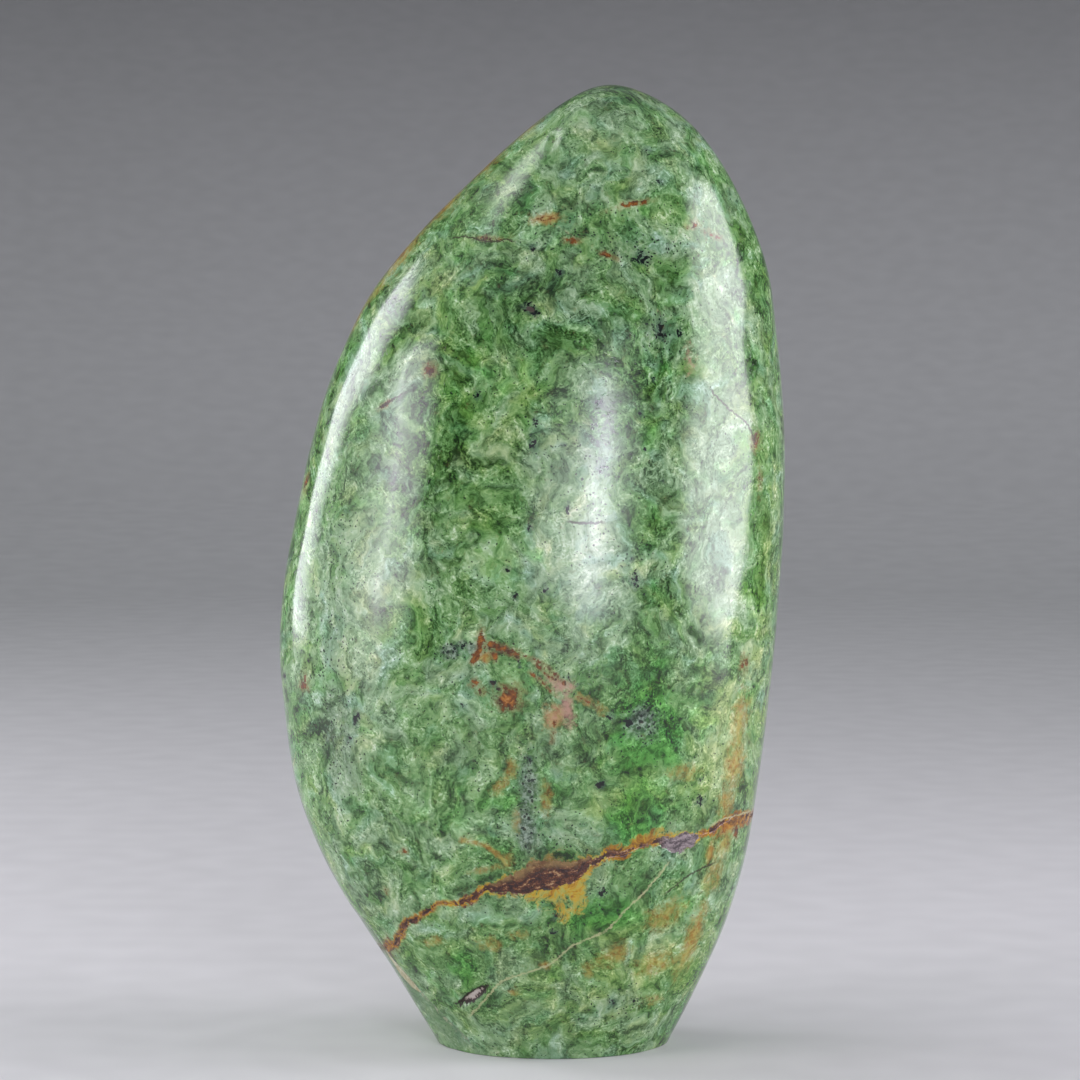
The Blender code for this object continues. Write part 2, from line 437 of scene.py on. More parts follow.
# Iron stains, as (across, height, half width, half height, lean, turn, strength): deep red-brown
# spots first, then the yellow and orange ones.
RED_SPOTS = (
    (-9.4, 84.3, 0.8, 1.6, 0, 0, 1.1),
    (-4.3, 72.8, 2.2, 2.5, -30, 0, 1.15),
    (-10.6, 75.9, 1.0, 1.1, 0, 0, 0.7),
    (-9.8, 74.4, 0.8, 1.2, 0, 0, 0.7),
    (2.7, 163.4, 2.0, 0.6, 5, 0, 0.35),
    (7.7, 159.1, 1.6, 0.6, 0, 0, 0.9),
    (14.3, 156.4, 2.0, 0.5, -25, 0, 0.9),
    (19.4, 166.2, 4.0, 0.5, 12, 0, 1.1),
    (-8.0, 159.6, 2.6, 0.5, -5, 0, 0.9),
    (31.2, 162.2, 2.4, 0.7, 15, 0, 0.3),
    (34.7, 160.3, 2.0, 0.8, -15, 0, 0.3),
    (-19.3, 134.7, 1.3, 1.2, 0, 0, 0.5),
    (-19.9, 135.6, 0.7, 0.6, 0, 0, 1.0),
    (-28.0, 127.9, 1.6, 0.6, 30, 0, 0.8),
    (43.3, 120.6, 1.4, 1.8, 0, 0, 0.5),
    (44.2, 113.0, 0.7, 2.6, 0, 0, 0.4),
    (41.1, 77.5, 1.2, 1.6, 0, 0, 0.2),
    (-44.3, 73.5, 1.6, 1.2, 20, 0, 0.4),
    (39.8, 44.6, 1.4, 1.6, 0, 0, 0.9),
    (37.5, 45.5, 1.2, 1.2, 0, 0, 0.9),
    (-24.4, 42.4, 0.8, 0.6, 0, 0, 0.6),
    (-28.1, 34.0, 0.8, 0.7, 0, 0, 0.6),
    (22.0, 118.0, 2.0, 1.1, 30, 90, 0.9),
    (-6.0, 70.0, 1.6, 2.2, 0, 180, 1.2),
    (4.0, 96.0, 2.6, 1.0, -30, 180, 0.8),
    (-17.0, 140.0, 2.4, 0.9, 20, 180, 0.9),
    (22.0, 48.0, 1.8, 1.2, 0, 180, 0.9),
    (8.0, 112.0, 1.4, 2.0, 0, 270, 0.9),
)
YELLOW_STAINS = (
    (-8.9, 80.9, 1.6, 1.2, 10, 0, 1.2),
    (2.7, 163.4, 3.2, 1.4, 5, 0, 1.3),
    (38.0, 45.4, 3.6, 2.0, 10, 0, 1.3),
    (6.0, 157.0, 4.6, 7.0, 0, 270, 1.2),
    (5.5, 166.0, 4.6, 6.0, 0, 270, 1.2),
    (5.0, 174.0, 4.2, 5.0, 0, 270, 1.1),
    (4.0, 181.0, 3.6, 4.0, 0, 270, 0.9),
    (2.8, 53.3, 1.1, 3.0, 0, 0, 0.4),
    (4.2, 69.3, 2.2, 2.6, 0, 0, 1.1),
    (-3.0, 49.0, 0.8, 2.0, 0, 0, 0.4),
    (-4.6, 41.2, 1.2, 1.6, 10, 0, 0.5),
    (-8.5, 39.6, 3.6, 0.7, 14, 0, 0.4),
    (25.9, 29.5, 4.2, 2.8, 30, 0, 0.6),
    (31.3, 23.6, 2.6, 7.6, -8, 0, 1.1),
    (24.5, 19.6, 4.4, 2.6, 10, 0, 0.6),
    (15.9, 22.1, 3.6, 2.0, 35, 0, 0.65),
    (10.9, 18.8, 1.2, 1.6, 0, 0, 0.4),
    (23.6, 11.6, 2.4, 1.2, 0, 0, 0.4),
    (35.4, 36.5, 2.6, 4.0, 0, 0, 0.5),
    (34.5, 41.0, 1.2, 2.6, 0, 0, 1.3),
    (37.4, 42.0, 2.4, 2.6, 0, 0, 0.7),
    (39.6, 58.2, 3.2, 5.6, -8, 0, 0.9),
    (40.4, 66.6, 2.6, 6.0, -8, 0, 0.8),
    (37.8, 50.6, 2.4, 3.6, 0, 0, 0.8),
    (29.2, 57.8, 3.4, 1.6, 0, 0, 0.35),
    (-18.9, 24.1, 2.4, 1.2, 10, 0, 0.4),
    (-8.0, 24.1, 2.4, 1.4, 0, 0, 0.35),
    (-2.8, 26.3, 2.0, 1.0, 0, 0, 0.3),
    (-3.0, 14.4, 1.2, 1.0, 0, 0, 0.3),
    (2.6, 20.1, 1.0, 0.8, 0, 0, 0.6),
    (0.0, 56.0, 5.0, 3.6, 20, 90, 0.5),
    (14.0, 66.0, 3.6, 5.0, 0, 90, 0.4),
    (16.0, 36.0, 6.0, 3.6, 10, 180, 0.5),
    (-12.0, 100.0, 5.0, 7.0, 25, 180, 0.4),
    (26.0, 78.0, 4.0, 5.0, 0, 180, 0.4),
    (-8.0, 52.0, 5.0, 3.0, 0, 270, 0.4),
)
RED_STREAKS = (
    (0.7, 0.75, 0, ((-9.5, 85.2), (-9.6, 82.2), (-11.2, 79.8))),
    (0.5, 0.6, 0, ((-9.4, 83.4), (-7.2, 81.4), (-6.8, 80.0))),
    (0.75, 0.7, 0, ((-8.0, 83.2), (-5.5, 82.4), (-2.6, 81.2))),
    (0.4, 0.5, 0, ((-1.8, 81.0), (2.0, 79.6), (4.6, 77.2), (6.4, 75.6))),
    (0.35, 0.45, 0, ((0.2, 80.2), (2.4, 77.8), (4.8, 76.2))),
    (0.35, 0.3, 0, ((-0.6, 78.0), (2.5, 75.6), (4.5, 73.5))),
    (1.5, 1.0, 0, ((-30.6, 19.6), (-28.6, 20.6), (-27.2, 22.4))),
    (0.3, 0.3, 0, ((8.8, 73.2), (11.0, 72.0), (12.6, 71.0))),
    (0.5, 0.35, 0, ((4.4, 68.4), (3.9, 64.6))),
)
keep("red_iron", patches(RED_SPOTS, RED_STREAKS))
YELLOW_STREAKS = (
    (2.6, 1.0, 270, ((5.0, 143.0), (4.0, 150.0), (3.0, 157.0), (2.0, 164.0), (1.0, 171.0), (0.0, 176.0))),
    (1.6, 0.5, 270, ((8.0, 148.0), (9.0, 154.0), (8.0, 160.0))),
    (0.9, 0.12, 0, ((9.0, 73.1), (11.4, 71.9), (13.6, 70.3))),
    (1.1, 0.6, 0, ((-3.5, 60.7), (-4.1, 58.4), (-6.9, 54.8))),
    (0.6, 0.9, 0, ((-13.3, 45.3), (-9.1, 44.4), (-6.2, 42.3), (-4.9, 40.6))),
)
keep("yellow_iron", patches(YELLOW_STAINS, YELLOW_STREAKS))

# Pink and tan patches, as of feldspar, and black specks of chromite, in the same form.
PINK_PATCHES = (
    (5.3, 75.2, 3.2, 1.9, -40, 0, 0.9),
    (3.4, 76.4, 2.2, 1.4, -30, 0, 0.4),
    (6.8, 71.0, 1.9, 5.2, 6, 0, 0.8),
    (4.2, 69.4, 2.4, 2.8, 0, 0, 0.45),
    (7.4, 75.2, 1.6, 1.4, 0, 0, 0.6),
    (30.1, 136.5, 1.8, 3.8, 0, 0, 0.4),
    (23.6, 11.6, 1.8, 0.9, 0, 0, 0.3),
)
BLACK_SPECKS = (
    (0.1, 157.6, 0.7, 0.6, 0, 0, 1.0),
    (-0.3, 146.4, 1.6, 0.9, -30, 0, 1.2),
    (0.9, 145.3, 0.9, 0.6, 0, 0, 1.2),
    (5.4, 153.2, 0.8, 0.8, 0, 0, 0.8),
    (21.2, 155.7, 1.6, 1.5, 0, 0, 0.7),
    (26.4, 158.1, 0.8, 0.7, 0, 0, 0.7),
    (25.0, 170.6, 1.1, 0.8, 0, 0, 0.8),
    (22.5, 176.7, 1.0, 0.7, 0, 0, 0.7),
    (10.2, 174.2, 0.7, 0.6, 0, 0, 0.7),
    (28.0, 142.0, 0.7, 0.9, 0, 0, 0.9),
    (24.5, 142.2, 1.1, 2.2, 0, 0, 0.8),
    (-10.1, 129.9, 0.7, 0.8, 0, 0, 0.9),
    (12.7, 128.6, 0.9, 0.7, 0, 0, 0.8),
    (11.8, 124.3, 0.6, 0.6, 0, 0, 0.8),
    (13.1, 116.2, 1.1, 0.7, 0, 0, 0.8),
    (0.3, 120.9, 0.7, 1.4, 0, 0, 0.8),
    (6.1, 120.9, 0.8, 0.5, 0, 0, 0.7),
    (0.7, 125.0, 0.6, 0.7, 0, 0, 0.8),
    (-4.6, 97.4, 0.8, 0.7, 30, 0, 0.9),
    (-3.1, 92.3, 0.6, 0.7, 0, 0, 0.9),
    (2.7, 93.7, 0.6, 0.9, 0, 0, 0.8),
    (6.7, 108.9, 0.6, 1.2, 0, 0, 0.8),
    (-0.5, 105.1, 0.5, 0.8, 0, 0, 0.8),
    (23.0, 133.0, 0.6, 0.6, 0, 0, 0.8),
    (20.7, 126.6, 0.7, 0.6, 0, 0, 0.8),
    (21.3, 120.0, 0.5, 0.6, 0, 0, 0.8),
    (24.7, 113.9, 0.6, 0.5, 0, 0, 0.8),
    (19.6, 95.1, 1.0, 1.4, 0, 0, 0.7),
    (19.0, 98.9, 0.5, 0.6, 0, 0, 0.8),
    (-33.6, 67.8, 0.9, 1.5, -20, 0, 1.4),
    (-35.1, 63.8, 0.7, 0.9, -20, 0, 1.3),
    (13.0, 56.1, 1.1, 0.8, 20, 0, 1.0),
    (-0.3, 61.3, 0.5, 0.6, 0, 0, 0.9),
    (32.2, 51.7, 1.2, 1.0, 0, 0, 0.8),
    (32.5, 55.8, 0.8, 0.6, 0, 0, 0.8),
    (5.0, 30.2, 1.0, 0.9, 0, 0, 0.8),
    (13.7, 34.7, 1.0, 0.8, 0, 0, 0.8),
    (4.1, 27.0, 0.8, 0.6, 0, 0, 0.8),
    (15.6, 11.8, 1.0, 0.6, 0, 0, 0.8),
    (19.9, 11.9, 0.8, 0.6, 0, 0, 0.8),
    (-13.1, 83.0, 1.0, 0.7, 0, 0, 0.7),
    (-7.3, 75.8, 0.8, 0.5, -30, 0, 1.2),
    (-6.3, 74.7, 0.6, 0.4, -30, 0, 1.2),
    (-13.0, 71.4, 0.5, 0.5, 0, 0, 0.9),
    (6.9, 77.0, 0.4, 0.3, 0, 0, 1.0),
    (8.6, 75.4, 0.6, 0.3, 45, 0, 1.0),
    (6.3, 73.9, 0.4, 0.3, 0, 0, 1.0),
    (6.1, 72.2, 0.6, 0.4, 0, 0, 1.0),
    (6.5, 69.5, 0.4, 0.6, 0, 0, 1.0),
    (-2.4, 80.2, 0.3, 0.5, 0, 0, 1.0),
    (-2.2, 78.9, 0.4, 0.3, 0, 0, 1.0),
    (18.5, 67.9, 0.7, 0.8, 0, 0, 1.1),
    (15.0, 69.3, 0.8, 0.7, 0, 0, 0.6),
    (-12.0, 84.0, 0.8, 0.8, 0, 180, 1.0),
    (7.0, 120.0, 1.4, 1.0, 0, 180, 0.9),
    (-20.0, 112.0, 1.0, 1.6, 20, 180, 0.9),
    (18.0, 92.0, 1.2, 0.9, 0, 180, 0.9),
    (-4.0, 44.0, 1.6, 1.2, 0, 180, 0.9),
    (10.0, 150.0, 1.2, 0.9, 0, 180, 0.9),
    (4.0, 130.0, 1.0, 1.0, 0, 90, 0.9),
    (-2.0, 88.0, 0.9, 1.6, 0, 90, 0.9),
    (-6.0, 110.0, 1.1, 1.2, 0, 270, 0.9),
    (8.0, 74.0, 1.4, 1.0, 0, 270, 0.9),
)
keep("pink", patches(PINK_PATCHES))
keep("black", patches(BLACK_SPECKS))

# Broad changes of the green, as (across, height, half width, half height, turn, strength): where it
# is deeper, or paler if the strength is below 0, where it is yellower and where it is vivid.
DEEPER = (
    (-13.0, 132.0, 10.0, 26.0, 0, 0.45),
    (2.0, 148.0, 12.0, 12.0, 0, 0.5),
    (17.0, 140.0, 10.0, 14.0, 0, 0.35),
    (-17.0, 108.0, 6.0, 20.0, 0, 0.3),
    (22.0, 66.0, 7.0, 7.0, 0, 1.9),
    (22.0, 78.0, 7.0, 8.0, 0, 0.7),
    (20.6, 50.5, 5.0, 5.0, 0, 1.7),
    (12.5, 55.0, 4.0, 4.0, 0, -0.6),
    (24.0, 117.0, 4.0, 9.0, 0, -0.5),
    (25.0, 18.5, 7.0, 6.0, 0, -1.1),
    (32.0, 32.0, 5.0, 5.0, 0, -0.9),
    (-2.0, 165.0, 6.0, 6.0, 0, -0.1),
    (22.0, 96.0, 5.0, 20.0, 0, 0.75),
    (-14.0, 58.0, 6.0, 16.0, 0, 0.7),
    (-39.3, 61.5, 1.6, 7.0, 0, 1.6),
    (-40.0, 60.0, 5.0, 14.0, 0, 0.3),
    (14.0, 30.0, 8.0, 4.0, 0, 0.4),
    (-33.0, 100.0, 12.0, 26.0, 0, -0.15),
    (-28.0, 66.0, 8.0, 12.0, 0, -0.6),
    (-45.0, 70.0, 3.5, 13.0, 0, 1.3),
    (-25.0, 31.0, 6.0, 8.0, 0, -0.6),
    (-10.0, 147.0, 6.0, 7.0, 0, 0.6),
    (32.0, 58.0, 5.0, 6.0, 0, -0.7),
    (-28.0, 48.0, 12.0, 10.0, 0, -0.25),
    (8.0, 98.0, 12.0, 20.0, 0, -0.5),
    (34.0, 104.0, 9.0, 34.0, 0, -0.45),
    (4.0, 58.0, 5.0, 8.0, 0, -0.3),
    (7.0, 164.0, 12.0, 8.0, 0, 0.6),
    (22.0, 136.0, 6.0, 12.0, 0, 0.9),
    (1.0, 139.0, 8.0, 8.0, 0, 0.1),
    (-5.0, 8.0, 9.0, 6.0, 0, 0.7),
    (12.0, 176.0, 16.0, 10.0, 0, -0.2),
    (-10.0, 80.0, 18.0, 30.0, 180, 0.4),
    (18.0, 120.0, 16.0, 22.0, 180, -0.35),
    (0.0, 40.0, 20.0, 14.0, 180, -0.25),
    (0.0, 100.0, 14.0, 24.0, 90, 0.3),
    (0.0, 100.0, 14.0, 24.0, 270, 0.2),
)
YELLOWER = (
    (-11.6, 114.1, 6.0, 12.0, 0, 0.2),
    (-5.9, 129.1, 6.0, 9.0, 0, 0.3),
    (-16.4, 133.4, 6.0, 9.0, 0, 0.25),
    (36.3, 61.3, 6.0, 16.0, 0, 0.8),
    (19.0, 54.0, 6.0, 6.0, 0, 0.7),
    (45.0, 100.0, 5.0, 40.0, 0, 0.3),
    (18.0, 17.0, 22.0, 10.0, 0, 0.5),
    (-20.0, 146.0, 8.0, 8.0, 0, 0.5),
    (10.0, 150.0, 16.0, 18.0, 180, 0.5),
    (-14.0, 60.0, 14.0, 14.0, 180, 0.6),
    (0.0, 60.0, 14.0, 16.0, 90, 0.5),
    (0.0, 130.0, 12.0, 16.0, 270, 0.5),
)
VIVID = (
    (11.6, 30.3, 5.0, 3.4, 0, 1.0),
    (16.8, 30.1, 4.0, 3.0, 0, 0.8),
    (-14.1, 18.1, 3.4, 3.4, 0, 0.7),
    (22.0, 74.0, 6.0, 8.0, 0, 0.7),
    (22.0, 65.0, 6.0, 6.0, 0, 1.5),
    (20.6, 50.5, 5.0, 5.0, 0, 1.5),
    (25.0, 118.0, 4.0, 16.0, 0, 0.15),
    (-10.0, 132.0, 8.0, 14.0, 0, 0.15),
    (-8.0, 50.0, 10.0, 8.0, 0, 0.3),
    (8.0, 24.0, 10.0, 5.0, 180, 0.7),
    (-16.0, 128.0, 9.0, 12.0, 180, 0.5),
)
# Where the dark flecks crowd, in the same form.
FLOCKS = (
    (-0.6, 56.5, 2.4, 6.5, 0, 1.3),
    (-1.0, 47.0, 1.8, 4.0, 0, 0.9),
    (4.0, 81.7, 2.6, 1.8, -30, 1.4),
    (-5.5, 82.3, 3.0, 1.4, 0, 0.8),
    (5.5, 76.0, 3.5, 2.4, 0, 0.7),
    (-11.0, 82.4, 2.0, 1.8, 0, 0.9),
    (12.0, 120.0, 6.0, 12.0, 0, 0.5),
    (1.0, 122.0, 3.0, 7.0, 0, 0.5),
    (20.0, 158.0, 12.0, 5.0, 0, 0.6),
    (24.0, 142.0, 4.0, 5.0, 0, 0.7),
    (21.0, 68.0, 5.0, 4.0, 0, 1.1),
    (-38.0, 84.0, 8.0, 30.0, 0, 0.5),
    (-36.0, 60.0, 6.0, 12.0, 0, 0.5),
    (10.0, 33.0, 10.0, 4.0, 0, 0.6),
    (4.0, 45.0, 12.0, 4.0, 0, 0.5),
    (33.0, 53.0, 5.0, 5.0, 0, 0.4),
    (18.0, 11.0, 8.0, 3.0, 0, 0.5),
    (-16.0, 132.0, 12.0, 12.0, 180, 0.7),
    (8.0, 70.0, 14.0, 10.0, 180, 0.7),
    (0.0, 90.0, 8.0, 20.0, 90, 0.6),
    (4.0, 120.0, 8.0, 14.0, 270, 0.6),
)
keep("flocks", clouds(FLOCKS))
# Where milky grey-green quartz takes over from the clear green, in the same form. The clouds on the left
# and right flanks and over the middle of the front lie where the long highlights fall, and also paint their
# pale bluish sheen into the colour as painted highlight.
MILKY_AND_SHEEN = (
    (-36.0, 66.0, 8.0, 22.0, 0, 0.5),
    (-34.0, 100.0, 7.0, 26.0, 0, 0.35),
    (-30.0, 124.0, 7.0, 14.0, 0, 0.3),
    (5.0, 56.0, 5.0, 8.0, 0, 0.4),
    (8.0, 92.0, 12.0, 18.0, 0, 0.25),
    (34.0, 110.0, 6.0, 40.0, 0, 0.4),
    (36.0, 66.0, 5.0, 12.0, 0, 0.3),
    (33.0, 84.0, 6.0, 10.0, 0, 0.4),
    (14.0, 178.0, 14.0, 9.0, 0, 0.2),
    (-16.0, 148.0, 8.0, 8.0, 0, 0.2),
    (-17.0, 52.0, 3.0, 12.0, 0, -0.5),
    (21.0, 64.0, 7.0, 14.0, 0, -0.8),
    (-18.0, 112.0, 6.0, 18.0, 0, -0.15),
    (-8.0, 136.0, 10.0, 14.0, 0, -0.1),
    (24.0, 114.0, 5.0, 16.0, 0, 0.3),
    (10.0, 104.0, 7.0, 18.0, 0, 0.35),
    (10.0, 28.0, 14.0, 5.0, 0, -0.35),
    (-16.0, 20.0, 8.0, 8.0, 0, -0.3),
    (-30.0, 44.0, 8.0, 8.0, 0, 0.3),
    (14.0, 110.0, 14.0, 24.0, 180, 0.35),
    (-22.0, 80.0, 12.0, 22.0, 180, -0.4),
    (0.0, 150.0, 18.0, 10.0, 180, 0.3),
    (0.0, 120.0, 9.0, 20.0, 90, 0.3),
    (0.0, 70.0, 9.0, 20.0, 90, -0.3),
    (0.0, 90.0, 9.0, 26.0, 270, 0.3),
)
keep("milky_and_sheen", clouds(MILKY_AND_SHEEN))
keep("zones", np.stack([clouds(DEEPER), clouds(YELLOWER), clouds(VIVID)], axis=1))

# The polished green stone itself: felted fibres of pale and deep green, with the marks laid in one
# after another as they lie in the stone. All sizes are in millimetres.
polish = bpy.data.materials.new("polished_chrysoprase")
polish.use_nodes = True
recipe = polish.node_tree
recipe.nodes.clear()


def put(tree, kind, feeds=None, **settings):
    """Adds a node, sets its settings, and feeds its sockets with values or with other sockets."""
    made = tree.nodes.new("ShaderNode" + kind)
    for name, value in settings.items():
        setattr(made, name, value)
    for name, value in (feeds or {}).items():
        if isinstance(value, bpy.types.NodeSocket):
            tree.links.new(value, made.inputs[name])
        else:
            made.inputs[name].default_value = value
    return made


def sums(operation, first, second=0.0, third=0.0):
    return put(recipe, "Math", {0: first, 1: second, 2: third}, operation=operation).outputs[0]


def plus(base, value, times):
    """The base with so many times a value added to it."""
    return sums("MULTIPLY_ADD", value, times, base)


def product(first, second):
    return sums("MULTIPLY", first, second)


def swing(value):
    """Noise, which runs from 0 to 1, as a swing to either side of 0."""
    return sums("SUBTRACT", value, 0.5)


def outside(mask):
    return sums("SUBTRACT", 1.0, mask)


def moved(operation, first, second):
    return put(recipe, "VectorMath", {0: first, 1: second}, operation=operation).outputs[0]


def grown(vector, times):
    return put(recipe, "VectorMath", {0: vector, "Scale": times}, operation="SCALE").outputs[0]


def grain(where, size, detail=2.0, rough=0.5, layer=0, output="Fac"):
    """Noise whose blobs are about size millimetres across. Each layer is cut from another place."""
    apart = moved("ADD", where, (57.0 * layer, -31.0 * layer, 83.0 * layer))
    return put(
        recipe,
        "TexNoise",
        {"Vector": apart, "Scale": 1.0 / size, "Detail": detail, "Roughness": rough},
    ).outputs[output]


def three_swings(where, size, detail, rough, layer):
    """Three noises at once, each as a swing to either side of 0."""
    return moved("SUBTRACT", grain(where, size, detail, rough, layer, "Color"), (0.5, 0.5, 0.5))


def fibres(where, heading, wide, long, layer):
    """Short strands that run along a heading."""
    heading = Vector(heading).normalized()
    along = put(recipe, "VectorMath", {0: where, 1: heading}, operation="DOT_PRODUCT").outputs["Value"]
    squeezed = grown(tuple(heading), product(along, wide / long - 1.0))
    return grain(moved("ADD", where, squeezed), wide, detail=0.0, layer=layer)


def rise(value, low, high):
    """0 below low, 1 above high, and an eased rise between."""
    return put(
        recipe,
        "MapRange",
        {"Value": value, "From Min": low, "From Max": high, "To Min": 0.0, "To Max": 1.0},
        interpolation_type="SMOOTHSTEP",
    ).outputs["Result"]


def tinted(mask, under, over, blend="MIX"):
    """The colour over laid on the colour under, where the mask is."""
    node = put(recipe, "Mix", data_type="RGBA", blend_type=blend, clamp_factor=True)
    for index, value in ((0, mask), (6, under), (7, over)):
        if isinstance(value, bpy.types.NodeSocket):
            recipe.links.new(value, node.inputs[index])
        else:
            node.inputs[index].default_value = value if index == 0 else (*value, 1.0)
    return node.outputs[2]


def shades(tree, value, colours):
    """A run of colours over a value, given as (position, colour)."""
    run = put(tree, "ValToRGB", {"Fac": value})
    stops = run.color_ramp.elements
    while len(stops) < len(colours):
        stops.new(0.5)
    for stop, (position, colour) in zip(stops, colours):
        stop.position = position
        stop.color = (*colour, 1.0)
    return run.outputs["Color"]


def laid(name, output="Fac"):
    """What was kept for each vertex under a name."""
    return put(recipe, "Attribute", attribute_name=name).outputs[output]


def parts(vector):
    made = put(recipe, "SeparateXYZ", {0: vector})
    return made.outputs[0], made.outputs[1], made.outputs[2]


# The felted body. Places are drawn along in slow drifts and tight curls before any noise is read.
place = grown(put(recipe, "TexCoord").outputs["Object"], 1 / MM)
drift = three_swings(place, size=16.0, detail=1.0, rough=0.5, layer=1)
curl = three_swings(place, size=3.0, detail=2.0, rough=0.5, layer=2)
flowing = moved("ADD", place, grown(drift, 16.0))
curled = moved("ADD", flowing, grown(curl, 5.0))
lightly_curled = moved("ADD", place, grown(curl, 1.6))

deeper, yellower, vivid = parts(laid("zones", "Vector"))
broad = grain(place, size=19.0, layer=3)
mottle = grain(curled, size=3.4, detail=4.0, rough=0.78, layer=4)
upright = moved("MULTIPLY", curled, (1.0, 1.0, 0.2))
strokes = grain(upright, size=1.6, rough=0.65, layer=5)
fine = grain(place, size=0.45, detail=1.0, rough=0.6, layer=6)
matted = rise(grain(flowing, size=4.5, detail=1.0, layer=14), 0.36, 0.6)
wisps = sums("ABSOLUTE", swing(grain(curled, size=2.6, rough=0.6, layer=7)))
wisps = product(outside(rise(wisps, 0.0, 0.035)), matted)
clast_size = 5.0
clast_place = moved("ADD", curled, (9.0, 4.0, 2.0))
clasts = put(recipe, "TexVoronoi", {"Vector": clast_place, "Scale": 1 / clast_size})
clast_tone, clast_milk, clast_hue = parts(clasts.outputs["Color"])

FIBRE_HEADINGS = {8: (1.0, 0.3, 0.5), 9: (-0.4, 1.0, 1.0), 10: (0.9, -0.6, -0.8)}
felt = [fibres(lightly_curled, heading, 0.5, 3.6, layer) for layer, heading in FIBRE_HEADINGS.items()]
pale_fibres = sums("MAXIMUM", sums("MAXIMUM", felt[0], felt[1]), felt[2])
pale_fibres = product(rise(pale_fibres, 0.62, 0.8), matted)

tone = sums("MULTIPLY_ADD", swing(broad), 0.55, 0.4)
tone = plus(tone, swing(mottle), 1.7)
tone = plus(tone, swing(clast_tone), 0.16)
tone = plus(tone, swing(strokes), 0.85)
tone = plus(tone, product(swing(fine), matted), 0.6)
tone = plus(tone, pale_fibres, 0.26)
tone = plus(tone, wisps, 0.14)
tone = plus(tone, deeper, -0.16)
clear_green = shades(
    recipe,
    tone,
    (
        (0.0, (0.008, 0.028, 0.004)),
        (0.2, (0.038, 0.107, 0.022)),
        (0.4, (0.103, 0.24, 0.066)),
        (0.6, (0.195, 0.36, 0.13)),
        (0.8, (0.33, 0.51, 0.25)),
        (1.0, (0.55, 0.7, 0.46)),
    ),
)
milky_and_sheen_green = shades(
    recipe,
    tone,
    (
        (0.0, (0.024, 0.052, 0.02)),
        (0.2, (0.09, 0.17, 0.074)),
        (0.4, (0.19, 0.315, 0.158)),
        (0.6, (0.3, 0.44, 0.255)),
        (0.8, (0.44, 0.585, 0.38)),
        (1.0, (0.62, 0.73, 0.55)),
    ),
)
# Milky quartz comes in at random and in the placed clouds; the clouds on the flanks and the middle of the
# front also carry a painted highlight sheen.
milk_and_sheen = sums("MULTIPLY_ADD", swing(grain(curled, size=9.0, rough=0.6, layer=28)), 2.8, 0.36)
milk_and_sheen = plus(milk_and_sheen, swing(clast_milk), 0.5)
milk_and_sheen = sums("ADD", milk_and_sheen, laid("milky_and_sheen"))
green = tinted(rise(milk_and_sheen, 0.0, 1.0), clear_green, milky_and_sheen_green)

# Leanings of the green, which multiply it: to yellow, to a vivid green and to a bluish one.
TO_YELLOW = (1.18, 1.03, 0.7)
TO_VIVID = (0.62, 1.03, 0.55)
TO_BLUE = (0.88, 0.98, 1.12)
yellow_hue, vivid_hue, blue_hue = parts(three_swings(curled, size=6.0, detail=1.0, rough=0.7, layer=15))
yellow_mask = rise(plus(yellow_hue, yellower, 0.5), -0.05, 0.45)
vivid_mask = rise(plus(vivid_hue, vivid, 0.5), 0.0, 0.45)
blue_mask = rise(plus(blue_hue, swing(clast_hue), 0.1), 0.0, 0.22)
for mask, leaning in ((yellow_mask, TO_YELLOW), (vivid_mask, TO_VIVID), (blue_mask, TO_BLUE)):
    green = tinted(mask, green, tinted(1.0, green, leaning, "MULTIPLY"))

# Dark flecks, thick in flocks, and the placed black specks in their smoky patches.
PEPPER_DARK = (0.03, 0.045, 0.04)
PEPPER_PALE = (0.3, 0.37, 0.31)
SMOKY_GREEN = (0.04, 0.075, 0.07)
FLECK_BLACK = (0.005, 0.012, 0.009)
SPECK_BLACK = (0.004, 0.009, 0.007)
fleck_spacing = 0.9
crumbs = swing(grain(place, size=0.8, rough=0.7, layer=20))
flock = plus(product(broad, 0.2), laid("flocks"), 0.17)
dots = put(recipe, "TexVoronoi", {"Vector": lightly_curled, "Scale": 1 / fleck_spacing}).outputs["Distance"]
dot_size = plus(plus(0.03, flock, 1.0), crumbs, 0.4)
flecks = rise(sums("SUBTRACT", dot_size, dots), -0.03, 0.03)
grey_ground = rise(plus(laid("flocks"), swing(mottle), 2.0), 0.3, 1.3)
peppered = tinted(rise(crumbs, -0.1, 0.16), PEPPER_DARK, PEPPER_PALE)
green = tinted(product(grey_ground, 0.75), green, peppered)
torn = swing(grain(place, size=1.5, detail=3.0, rough=0.75, layer=21))
smoke = rise(plus(laid("black"), torn, 2.6), -0.7, 0.5)
green = tinted(product(smoke, 0.5), green, SMOKY_GREEN)
green = tinted(product(flecks, 0.9), green, FLECK_BLACK)
specks = rise(plus(laid("black"), crumbs, 4.2), 0.25, 0.4)
green = tinted(specks, green, SPECK_BLACK)

# Iron stains: soft ochre, pink, and rust that darkens at its rim.
OCHRE_BROWN = (0.32, 0.13, 0.012)
OCHRE_YELLOW = (0.42, 0.33, 0.07)
FLESH_PINK = (0.47, 0.27, 0.2)
RUST_GLOW = (0.36, 0.19, 0.08)
iron_tone = grain(curled, size=2.0, rough=0.75, layer=22)
yellow_iron = rise(plus(laid("yellow_iron"), torn, 2.4), -0.5, 1.1)
ochre = tinted(rise(iron_tone, 0.38, 0.62), OCHRE_BROWN, OCHRE_YELLOW)
green = tinted(product(yellow_iron, 0.85), green, ochre)
pink = rise(plus(laid("pink"), torn, 1.8), -0.1, 0.9)
green = tinted(product(pink, 0.85), green, FLESH_PINK)
red_depth = plus(laid("red_iron"), torn, 3.0)
red_iron = rise(red_depth, 0.05, 0.4)
green = tinted(product(rise(red_depth, -0.9, 0.6), 0.4), green, RUST_GLOW)
